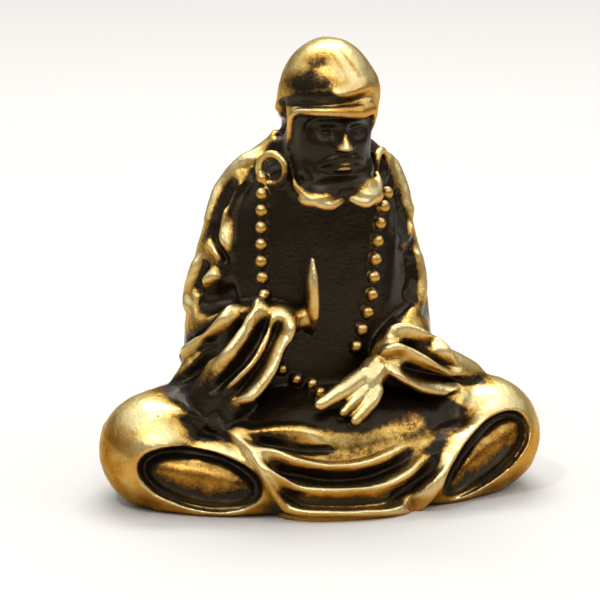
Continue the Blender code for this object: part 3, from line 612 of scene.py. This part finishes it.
for side in SIDES.values():
    back_folds += [
        ("fold", [(6.4 * side, 18), (6.9 * side, 13), (8.2 * side, 8.6), (10.4 * side, 7)], 1.1, -0.4),
        ("fold", [(1.4 * side, 4.6), (5.0 * side, 3.6), (10 * side, 3.4)], 1.0, -0.35),
    ]
carve(form, BACK, back_folds)

# Face
# A calm, plain face with lowered eyes is pressed into the front of the hood, inside a round-cornered
# opening. It is the same on both sides and belongs to nobody.
FACE_FRONT = 6  # how far the face stands out towards the eye of the drawing square on to it


def open_face(obj):
    """Presses a calm, plain face into the front of the hood, inside a round-cornered opening."""
    mesh = obj.data
    points = points_of(mesh) / UNIT
    angle = math.radians(-HEAD_TURN)
    x = points[:, 0] - HEAD_AXIS[0]
    y = points[:, 1] - HEAD_AXIS[1]
    z = points[:, 2]
    side = x * math.cos(angle) - y * math.sin(angle)
    deep = x * math.sin(angle) + y * math.cos(angle)
    centre_z, half_height, corner = 25.8, 2.95, 1.0
    half_width = 2.7 + 0.5 * np.clip((25.4 - z) / 1.5, 0, 1)
    over_x = np.maximum(abs(side) - half_width + corner, 0)
    over_z = np.maximum(abs(z - centre_z) - half_height + corner, 0)
    mask = np.clip((corner + 0.15 - np.hypot(over_x, over_z)) / 0.4, 0, 1)

    def mound(at_side, at_z, wide, tall, height):
        """A soft rise of the skin, the same on both sides."""
        return height * np.exp(-(((abs(side) - at_side) / wide) ** 2) - ((z - at_z) / tall) ** 2)

    skin = 3.3 * np.sqrt(np.clip(1 - (side / 3.3) ** 2 - ((z - 26.4) / 5.4) ** 2, 0, 1))
    skin += mound(1.0, 28.25, 0.95, 0.32, 0.42) + mound(0, 28.0, 0.5, 0.45, 0.2)
    skin -= mound(1.15, 27.55, 0.75, 0.4, 0.42)
    skin += mound(1.2, 27.4, 0.55, 0.3, 0.34)
    skin += mound(1.7, 26.5, 0.8, 0.55, 0.22)
    bridge = np.clip((28.2 - z) / 1.9, 0, 1) * np.clip((z - 25.95) / 0.25, 0, 1)
    skin += (0.25 + 0.75 * bridge) * bridge**0.3 * np.exp(-((side / (0.3 + 0.16 * bridge)) ** 2))
    skin += mound(0.48, 26.3, 0.24, 0.24, 0.34)
    skin += mound(0, 25.1, 0.8, 0.17, 0.24) + mound(0, 24.72, 0.6, 0.19, 0.28)
    skin -= mound(0, 24.91, 0.75, 0.07, 0.16)
    beard = np.clip((24.4 + 0.2 * side**2 - z) / 1.7, 0, 1)
    skin += (1.15 - 0.05 * side**2) * beard * beard * (3 - 2 * beard)
    droop = 25.62 - 0.16 * abs(side) - 0.3 * np.clip(abs(side) - 0.7, 0, 9) ** 1.5
    tache = np.exp(-(((z - droop) / 0.27) ** 2)) * np.clip(1 - (abs(side) / 2.3) ** 3, 0, 1)
    skin += 0.3 * tache * (1 - 0.6 * np.exp(-((side / 0.16) ** 2)))
    moved = (-skin - deep) * mask * (deep < 0)  # the back of the head stays
    turned = np.stack([math.sin(angle) * moved, math.cos(angle) * moved, 0 * moved], 1)
    move_points(mesh, (points + turned) * UNIT)


def face_on(side, z):
    """A place on the face as a place of the drawing square on to it."""
    near = DRAWING_DISTANCE / (DRAWING_DISTANCE - FACE_FRONT)
    angle = math.radians(HEAD_TURN)
    middle = HEAD_AXIS[0] * math.cos(angle) + HEAD_AXIS[1] * math.sin(angle)
    return ((side + middle) * near, ORIGIN_DROP + (z - MIDDLE_HEIGHT) * near)


open_face(form)
eyelids = []
for side in SIDES.values():
    lid = [(0.62 * side, 27.36), (1.2 * side, 27.16), (1.8 * side, 27.34)]
    fold = [(0.6 * side, 27.62), (1.2 * side, 27.74), (1.85 * side, 27.55)]
    eyelids.append(("fold", [face_on(*place) for place in lid], 0.22, -0.16))
    eyelids.append(("fold", [face_on(*place) for place in fold], 0.2, -0.1))
carve(form, (HEAD_TURN, 0), eyelids)
surface = surface_of(form)

# Beard
# A full, smooth beard wraps the jaw below the lips and is rolled along its edge into two lobes. It is
# laid on the wax as flat pads and a thin roll.


def in_head(x, y, z):
    """A place in units measured from the head's own axis, turned with the head."""
    turned = Matrix.Rotation(math.radians(HEAD_TURN), 4, "Z") @ Vector((x, y - HEAD_AXIS[1], z))
    return (turned.x + HEAD_AXIS[0], turned.y + HEAD_AXIS[1], turned.z)


beard = [ball(in_head(0, -4.8, 23.3), (3.05, 2.1, 1.1), (0, 0, HEAD_TURN))]
beard_edge = [
    (3.2, -4.3, 24.0), (3.1, -4.9, 23.4), (2.5, -6.0, 22.7), (1.35, -6.75, 22.3), (0.35, -6.7, 22.65),
]
for side in SIDES.values():
    beard += [
        ball(in_head(1.5 * side, -5.5, 23.0), (1.85, 1.5, 0.85), (20, 14 * side, 18 * side)),
        limb([in_head(x * side, y, z) for x, y, z in beard_edge], [0.15, 0.32, 0.4, 0.42, 0.26]),
    ]

# Hood rim
# A thin rolled rim runs along the brow and down the right side of the opening. It is a wax roll pressed
# onto the hood.
rim_line = [
    (-1.56, 24.93), (-1.42, 26.27), (-1.12, 27.38), (0.15, 27.53),
    (2.09, 27.53), (3.58, 27.53), (4.62, 27.76),
]
rim = [limb(thrown(surface, FRONT, rim_line), [0.2, 0.28, 0.32, 0.3, 0.4, 0.52, 0.4])]

# Earrings
# A ring of round wire hangs below the hood on each side. Both are part of the casting, half sunk in the
# robe and turned outwards.
EARRING_DIAMETER = 0.0029
EARRING_WIRE = 0.0006
EARRING_LIFT = 0.45  # how far each ring's middle stands off the robe, in units
EARRING_TURN = 50

earrings = []
for side, place in ((SIDES["right"], (-2.53, 23.06)), (SIDES["left"], (4.99, 23.44))):
    bpy.ops.mesh.primitive_torus_add(
        major_radius=(EARRING_DIAMETER - EARRING_WIRE) / 2,
        minor_radius=EARRING_WIRE / 2,
        major_segments=48,
        minor_segments=16,
    )
    ring = bpy.context.object
    ring.location = thrown(surface, FRONT, [place], lift=EARRING_LIFT)[0] * UNIT
    ring.rotation_euler = (math.radians(90), 0, math.radians(EARRING_TURN * side + HEAD_TURN))
    earrings.append(ring)

# Beads
# A string of round beads hangs down both sides of the chest and crosses the lap. The beads are cast
# with the robe, touching it and nearly touching each other.
BEAD_DIAMETER = 0.00095
BEAD_PITCH = 0.0012
BEAD_LIFT = 0.3

strands = [
    [(-3.35, 22.47), (-3.5, 19.86), (-3.58, 16.36), (-3.35, 13.97)],
    [(5.44, 21.42), (4.99, 19.04), (4.69, 16.36), (4.47, 13.9), (3.95, 11.89), (3.35, 10.1)],
    [(-2.16, 8.38), (-1.04, 7.56), (-0.07, 7.12), (0.75, 6.37)],
]
bead_places = []
for strand in strands:
    flat = curve_through([(u, v, 0) for u, v in strand], 12)
    string = np.array([tuple(p) for p in thrown(surface, FRONT, flat[:, :2], lift=BEAD_LIFT)])
    length = np.concatenate([[0], np.cumsum(np.linalg.norm(np.diff(string, axis=0), axis=1))])
    count = int(length[-1] * UNIT / BEAD_PITCH)
    for along in np.linspace(0, length[-1], count + 1):
        bead_places.append(np.array([np.interp(along, length, string[:, axis]) for axis in range(3)]))
bead_radius = BEAD_DIAMETER / 2 / UNIT
beads = [ball(place, [bead_radius] * 3) for place in bead_places]

# Hands
# The right hand is held upright before the chest, seen edge on. The left one lies on the lap with its
# fingers slightly spread. Both are wax rolls pushed into the sleeves.
upright = limb([(-1.1, -5.6, 13.5), (-1.15, -6.5, 14.6), (-1.35, -7.0, 16.6), (-1.45, -7.1, 18.2)],
               [1.1, 1.25, 1.0, 0.4], flat=0.42)
wrist = limb([(-3.2, -5.9, 13.7), (-1.6, -6.3, 13.9)], [0.9, 0.8])
on_lap = [
    limb([(4.5, -6.5, 10.3), (3.3, -7.3, 9.9), (2.5, -8.0, 9.2)], [1.0, 1.15, 1.05]),
    limb([(2.2, -8.1, 9.8), (0.5, -8.8, 8.95), (-1.2, -9.2, 8.1)], [0.72, 0.66, 0.5]),
    limb([(2.3, -8.6, 8.9), (1.4, -9.1, 8.2), (0.5, -9.4, 7.45)], [0.55, 0.5, 0.42]),
    limb([(3.1, -8.4, 8.8), (2.5, -9.2, 8.0), (1.3, -9.8, 6.95)], [0.62, 0.58, 0.46]),
]
hands = [upright, wrist, *on_lap]

# Casting
# Body and details are melted together once more and cast in brass as one solid piece with a flat
# underside. The skin keeps the slight unevenness of a lost-wax casting.
FINISHED_TRIANGLES = 190000
UNEVENNESS = ((0.045, 1.5), (0.02, 0.6))  # height and size of the skin's soft bumps, in units
CUT_TOLERANCE = 0.02 * UNIT
FLAT_WITHIN = 0.03 * UNIT


def grain(points, size):
    """Soft unevenness about size units across, from -1 to 1."""
    return np.array([noise.noise(Vector(point)) for point in points / (size * UNIT)])


def finish(obj):
    """Thins the mesh, cuts the underside flat and stands the casting on the origin.

    Returns how far the casting was moved.
    """
    mesh = obj.data
    triangles = sum(len(face.vertices) - 2 for face in mesh.polygons)
    thin = obj.modifiers.new("thin", "DECIMATE")
    thin.ratio = min(1, FINISHED_TRIANGLES / triangles)
    settle(obj)
    points = points_of(obj.data)
    rough = sum(height * grain(points, size) for height, size in UNEVENNESS)
    move_points(obj.data, points + calm_normals(obj.data, 2) * (rough * UNIT)[:, None])
    shape = bmesh.new()
    shape.from_mesh(obj.data)
    everything = shape.verts[:] + shape.edges[:] + shape.faces[:]
    cut = bmesh.ops.bisect_plane(
        shape, geom=everything, dist=CUT_TOLERANCE, plane_co=(0, 0, 0), plane_no=(0, 0, 1), clear_inner=True
    )
    border = [e for e in cut["geom_cut"] if isinstance(e, bmesh.types.BMEdge)]
    bmesh.ops.holes_fill(shape, edges=border, sides=0)
    for vertex in shape.verts:
        if vertex.co.z < FLAT_WITHIN:
            vertex.co.z = 0
    bmesh.ops.triangulate(shape, faces=[f for f in shape.faces if len(f.verts) > 3])
    low = Vector([min(v.co[axis] for v in shape.verts) for axis in range(3)])
    high = Vector([max(v.co[axis] for v in shape.verts) for axis in range(3)])
    box_low, box_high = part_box("figure")
    step = (box_low + box_high - low - high) / 2
    step.z = 0
    shape.transform(Matrix.Translation(step))
    bmesh.ops.recalc_face_normals(shape, faces=shape.faces)
    shape.to_mesh(obj.data)
    shape.free()
    return step


casting = fuse("figure_casting", [form, *beard, *rim, *earrings, *beads, *hands], rounding=3)
step_made = finish(casting)
casting.data.shade_smooth()

# Patina, polish and painted reflections
# The whole casting was blackened, then rubbed bright where a cloth reaches it. Hollows keep the black,
# ridges and knees shine, and the undersides get a deeper amber, a painted warm reflection from below.
# A few dark patches on the dome and the right knee are painted reflections as well.
GRID_PITCH = 0.25 * UNIT
GRID_MARGIN = 32
BARE_POLISH = 9.8
METAL_AROUND = ((0.7, 6.2), (1.5, 10.5), (3.2, 6.5))  # how far to look round each place, and its weight
UPWARD_RUB = 1.2
POLISH_SPAN = 5
BEAD_RUB = 0.12  # how far past each bead its own polish reaches, in units


def solid_grid(obj):
    """Whether each cell of a grid round the casting is metal."""
    surface = surface_of(obj)
    box_low, box_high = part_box("figure")
    low = np.array(box_low) - GRID_MARGIN * GRID_PITCH
    counts = np.ceil((np.array(box_high) - low) / GRID_PITCH).astype(int) + GRID_MARGIN
    solid = np.zeros(counts, np.float32)
    down = Vector((0, 0, -1))
    for i in range(GRID_MARGIN - 1, counts[0] - GRID_MARGIN + 1):
        for j in range(GRID_MARGIN - 1, counts[1] - GRID_MARGIN + 1):
            x = low[0] + (i + 0.5) * GRID_PITCH
            y = low[1] + (j + 0.5) * GRID_PITCH
            height = box_high.z + UNIT
            crossings = []
            while True:
                place, _, _, _ = surface.ray_cast(Vector((x, y, height)), down)
                if place is None:
                    break
                crossings.append((place.z - low[2]) / GRID_PITCH)
                height = place.z - 0.01 * UNIT
            for top, bottom in zip(crossings[::2], crossings[1::2]):
                solid[i, j, int(round(bottom)):int(round(top))] = 1
    return low, solid


def metal_around(points, low, solid, spread):
    """The share of metal round each place: a half on a flat, more in a hollow, less on a ridge."""
    spectrum = np.fft.rfftn(solid)
    for axis, count in enumerate(solid.shape):
        pace = np.fft.rfftfreq(count) if axis == 2 else np.fft.fftfreq(count)
        gain = np.exp(-2 * (np.pi * pace * spread * UNIT / GRID_PITCH) ** 2)
        spectrum *= gain.reshape([-1 if k == axis else 1 for k in range(3)])
    soft = np.fft.irfftn(spectrum, solid.shape)
    place = (points - low) / GRID_PITCH - 0.5
    corner = np.floor(place).astype(int)
    part = place - corner
    total = np.zeros(len(points))
    for dx in (0, 1):
        for dy in (0, 1):
            for dz in (0, 1):
                step = np.array((dx, dy, dz))
                weight = np.where(step == 1, part, 1 - part).prod(1)
                x, y, z = (corner + step).T
                total += weight * soft[x, y, z]
    return total


def painted(centre, length, width, tilt=0, soft=0.4, view=FRONT):
    """A soft-edged oval laid on the side that faces the drawing, 1 inside and 0 outside."""
    u, v, facing = on_drawing(drawn, view)
    u = u - centre[0]
    v = v - centre[1]
    c = math.cos(math.radians(tilt))
    s = math.sin(math.radians(tilt))
    far = np.hypot((u * c + v * s) / length, (v * c - u * s) / width)
    return eased(np.clip((1 + soft - far) / (2 * soft), 0, 1) * (normals @ facing > 0))


mesh = casting.data
places = points_of(mesh)
normals = normals_of(mesh)
drawn = places - np.array(step_made)  # where the drawings knew each place
facing_up = normals[:, 2]
grid_low, solid = solid_grid(casting)
polish_and_painted_light = np.full(len(places), BARE_POLISH)
for spread, weight in METAL_AROUND:
    polish_and_painted_light -= weight * metal_around(places, grid_low, solid, spread)
polish_and_painted_light += UPWARD_RUB * facing_up

# Places left darker than their shape alone would be, most of them patina and a few painted dark reflections:
# strength, centre, length, width, tilt, softness
stains_and_painted_reflections = [
    (2.5, (1.94, 24.11), 3.2, 2.6, 0, 0.4),
    (1.8, (1.94, 22.02), 2.6, 1.3, 0, 0.4),
    (2.2, (0.15, 17.25), 4.6, 5.5, 0, 0.4),
    (1.6, (1.49, 4.73), 6.5, 1.4, 4, 0.4),
    (4.0, (0.15, 28.43), 2.3, 0.45, 3, 0.4),
    # Two dome patches, partly patina and partly a painted dark reflection of the camera and room
    (3.4, (0.67, 31.41), 1.5, 0.85, 12, 0.9),
    (3.5, (0.22, 29.62), 2.1, 0.8, -5, 0.9),
    (3.0, (-0.82, 26.42), 0.5, 1.1, 0, 0.3),
    (3.0, (-0.3, 26.86), 0.9, 0.6, 0, 0.3),
    (1.2, (2.76, 31.56), 1.4, 0.16, -48, 0.9),
    (1.3, (3.28, 30.74), 1.6, 0.13, -55, 0.9),
    (1.3, (2.24, 30.96), 1.1, 0.14, -60, 0.9),
    (2.0, (-6.56, 20.38), 2.6, 0.8, 62, 0.4),
    (1.5, (7, 17.25), 3.6, 0.7, 95, 0.4),
    (1.6, (-7.15, 6.97), 3.4, 1.5, 38, 0.4),
    (2.4, (6.04, 17.1), 5.4, 0.55, 93, 0.4),
    (1.3, (-8.2, 0.11), 3.8, 1.5, -13, 0.4),
    (1.0, (13.11, 1.9), 3.6, 1.2, 46, 0.4),
    # Painted brown reflection from below on the low outside of the right knee
    (0.7, (-15.05, 0.86), 1.4, 2.4, -10, 0.8),
    (2.3, (8.87, 1.68), 2.2, 0.75, 52, 0.6),
    # A painted dark reflection band across the right knee
    (1.2, (-12.97, 3.32), 1.7, 0.8, 15, 0.9),
    (1.0, (2.61, -1.83), 3.6, 0.6, 2, 0.8),
]
for strength, *oval in stains_and_painted_reflections:
    polish_and_painted_light -= strength * painted(*oval)

# Places rubbed brighter, with the same columns: beard, lap, left thigh and the left sleeve's end
rubbed_places = [
    (2.2, (-0.15, 20.53), 1.9, 0.5, -24, 0.4),
    (2.2, (3.65, 20.6), 1.7, 0.6, 24, 0.4),
    (1.6, (0.15, 2.87), 6.0, 1.2, 4, 0.8),
    (1.2, (8.94, 4.96), 3.6, 1.5, 15, 0.9),
    (3.0, (11.33, 6.52), 3.2, 0.8, -10, 0.4),
]
for strength, *oval in rubbed_places:
    polish_and_painted_light += strength * painted(*oval)
for strength, lip_height, length, width in ((5.5, 24.74, 0.7, 0.2), (3.0, 25.12, 0.8, 0.16)):
    polish_and_painted_light += strength * painted(face_on(0, lip_height), length, width, view=(HEAD_TURN, 0))

# Beads are rubbed on their front halves only
bead_gap = np.min([np.linalg.norm(drawn / UNIT - place, axis=1) for place in bead_places], axis=0)
on_bead = np.clip((bead_radius + BEAD_RUB - bead_gap) / 0.1, 0, 1)
on_bead *= np.clip(0.6 - 1.2 * normals[:, 1], 0, 1)
polish_and_painted_light += 3.2 * on_bead

# Places of a deeper amber, with the same columns: pads, rim, left of the brow, knees, middle of the hem. This
# amber is a painted warm reflection from below, laid on the brass.
amber_places = [
    (0.8, (-8.2, 0.11), 3.8, 1.5, -13, 0.4),
    (0.8, (13.11, 1.9), 3.6, 1.2, 46, 0.4),
    (0.9, (3.13, 27.76), 3.4, 0.45, 4, 0.6),
    (0.5, (3.87, 29.17), 1.8, 0.9, 30, 0.8),
    (1.0, (-14.9, 1.6), 1.8, 3.2, -10, 0.8),
    (0.7, (15.8, 1.9), 1.6, 3.0, -20, 0.8),
    (0.5, (-1.49, -1.23), 2.6, 0.8, -25, 0.8),
]
# Undersides get more amber as a painted warm reflection from below, and beads are made more amber too
amber_share = 0.55 - 1.1 * facing_up + 0.6 * on_bead
for strength, *oval in amber_places:
    amber_share += strength * painted(*oval)
# The patina layer also carries the painted dark reflections, and the amber layer the painted warm reflection
for name, values in (("patina", 0.5 - polish_and_painted_light / POLISH_SPAN), ("amber", amber_share)):
    layer = mesh.attributes.new(name, "FLOAT", "POINT")
    layer.data.foreach_set("value", np.clip(values, 0, 1).astype(np.float32))

# Aged brass
# Yellow brass under a black patina that is worn through in blotches, speckles and fine specks. The skin
# is slightly pitted by the casting and scratched by the rubbing.
BLOTCH_SIZE = 0.0022
SPECKLE_SIZE = 0.00042
SPECK_SIZE = 0.00014
PIT_SIZE = 0.0004
SCRATCH_SIZE = 0.0009
RELIEF_DEPTH = 0.0001
BLOTCH_SHARE = 0.6
SPECKLE_SHARE = 0.34
SPECK_SHARE = 0.16
BLACK = (0.008, 0.005, 0.003)
BRIGHT_BRASS = (
    (0.06, (0.88, 0.73, 0.36)), (0.26, (0.76, 0.54, 0.17)), (0.43, (0.46, 0.27, 0.06)),
    (0.53, (0.12, 0.06, 0.018)), (0.60, BLACK),
)
AMBER_BRASS = (
    (0.06, (0.54, 0.28, 0.05)), (0.32, (0.36, 0.16, 0.022)), (0.48, (0.15, 0.065, 0.010)),
    (0.58, BLACK),
)

aged_brass = bpy.data.materials.new("aged_brass")
aged_brass.use_nodes = True
tree = aged_brass.node_tree
shader = tree.nodes["Principled BSDF"]


def node(kind, **values):
    """A new node with its settings and input values."""
    made = tree.nodes.new(kind)
    for name, value in values.items():
        if hasattr(made, name):
            setattr(made, name, value)
        else:
            made.inputs[name].default_value = value
    return made


def join(a, out, b, into):
    """Links an output of one node to an input of another."""
    tree.links.new(a.outputs[out], b.inputs[into])


def noise_of(size, detail, roughness, stretch=(1, 1, 1)):
    """Soft noise with features about size metres across."""
    spread = node("ShaderNodeMapping")
    spread.inputs["Scale"].default_value = [k / size for k in stretch]
    join(object_place, "Object", spread, "Vector")
    made = node("ShaderNodeTexNoise", Scale=1, Detail=detail, Roughness=roughness)
    join(spread, "Vector", made, "Vector")
    return made


def sum_of(a, a_out, b, b_out, factor):
    """a plus factor times (b minus a half)."""
    scaled = node("ShaderNodeMath", operation="MULTIPLY_ADD")
    scaled.inputs[1].default_value = factor
    scaled.inputs[2].default_value = -factor / 2
    join(b, b_out, scaled, 0)
    made = node("ShaderNodeMath", operation="ADD")
    join(a, a_out, made, 0)
    join(scaled, "Value", made, 1)
    return made


def ramp_of(source, out, stops):
    """Colours that follow a value, listed as (position, colour)."""
    made = node("ShaderNodeValToRGB")
    for element, (position, colour) in zip(made.color_ramp.elements, (stops[0], stops[-1])):
        element.position = position
        element.color = (*colour, 1)
    for position, colour in stops[1:-1]:
        made.color_ramp.elements.new(position).color = (*colour, 1)
    join(source, out, made, "Fac")
    return made


def range_of(source, out, low_in, high_in, low_out, high_out):
    """A value moved from one range to another."""
    made = node("ShaderNodeMapRange")
    made.inputs["From Min"].default_value = low_in
    made.inputs["From Max"].default_value = high_in
    made.inputs["To Min"].default_value = low_out
    made.inputs["To Max"].default_value = high_out
    join(source, out, made, "Value")
    return made


object_place = node("ShaderNodeTexCoord")
patina_and_painted_light_read = node("ShaderNodeAttribute", attribute_name="patina")
amber_read = node("ShaderNodeAttribute", attribute_name="amber")
blotches = noise_of(BLOTCH_SIZE, 5, 0.6)
speckles = noise_of(SPECKLE_SIZE, 4, 0.65)
specks = noise_of(SPECK_SIZE, 2, 0.6)
# Patina with its painted dark reflections, broken up by blotches, speckles and specks
worn_patina_and_painted_light = sum_of(patina_and_painted_light_read, "Fac", blotches, "Fac", BLOTCH_SHARE)
worn_patina_and_painted_light = sum_of(worn_patina_and_painted_light, "Value", speckles, "Fac", SPECKLE_SHARE)
worn_patina_and_painted_light = sum_of(worn_patina_and_painted_light, "Value", specks, "Fac", SPECK_SHARE)
bright = ramp_of(worn_patina_and_painted_light, "Value", BRIGHT_BRASS)
amber = ramp_of(worn_patina_and_painted_light, "Value", AMBER_BRASS)
# Amber tone, a painted warm reflection from below, mottled by the blotches
amber_and_warm_reflection = sum_of(amber_read, "Fac", blotches, "Fac", 0.9)
colour = node("ShaderNodeMix", data_type="RGBA")
join(amber_and_warm_reflection, "Value", colour, 0)
join(bright, "Color", colour, 6)
join(amber, "Color", colour, 7)
join(colour, 2, shader, "Base Color")

# Bare metal gives way to the black patina within a narrow band. The patina is a little glossier
metal = range_of(worn_patina_and_painted_light, "Value", 0.48, 0.64, 1, 0)
join(metal, "Result", shader, "Metallic")
gloss = range_of(worn_patina_and_painted_light, "Value", 0.3, 0.6, 0.29, 0.16)
rubbed = sum_of(gloss, "Result", speckles, "Fac", 0.16)
join(rubbed, "Value", shader, "Roughness")
shader.inputs["Specular IOR Level"].default_value = 0.28
shader.inputs["Specular Tint"].default_value = (1.0, 0.80, 0.50, 1)
pits = noise_of(PIT_SIZE, 5, 0.65)
scratches = noise_of(SCRATCH_SIZE, 3, 0.6, stretch=(7, 1, 1))
low_relief = sum_of(pits, "Fac", scratches, "Fac", 0.4)
bump = node("ShaderNodeBump", Strength=0.5, Distance=RELIEF_DEPTH)
join(low_relief, "Value", bump, "Height")
join(bump, "Normal", shader, "Normal")
casting.data.materials.clear()
casting.data.materials.append(aged_brass)

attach(casting, "root")
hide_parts("figure")
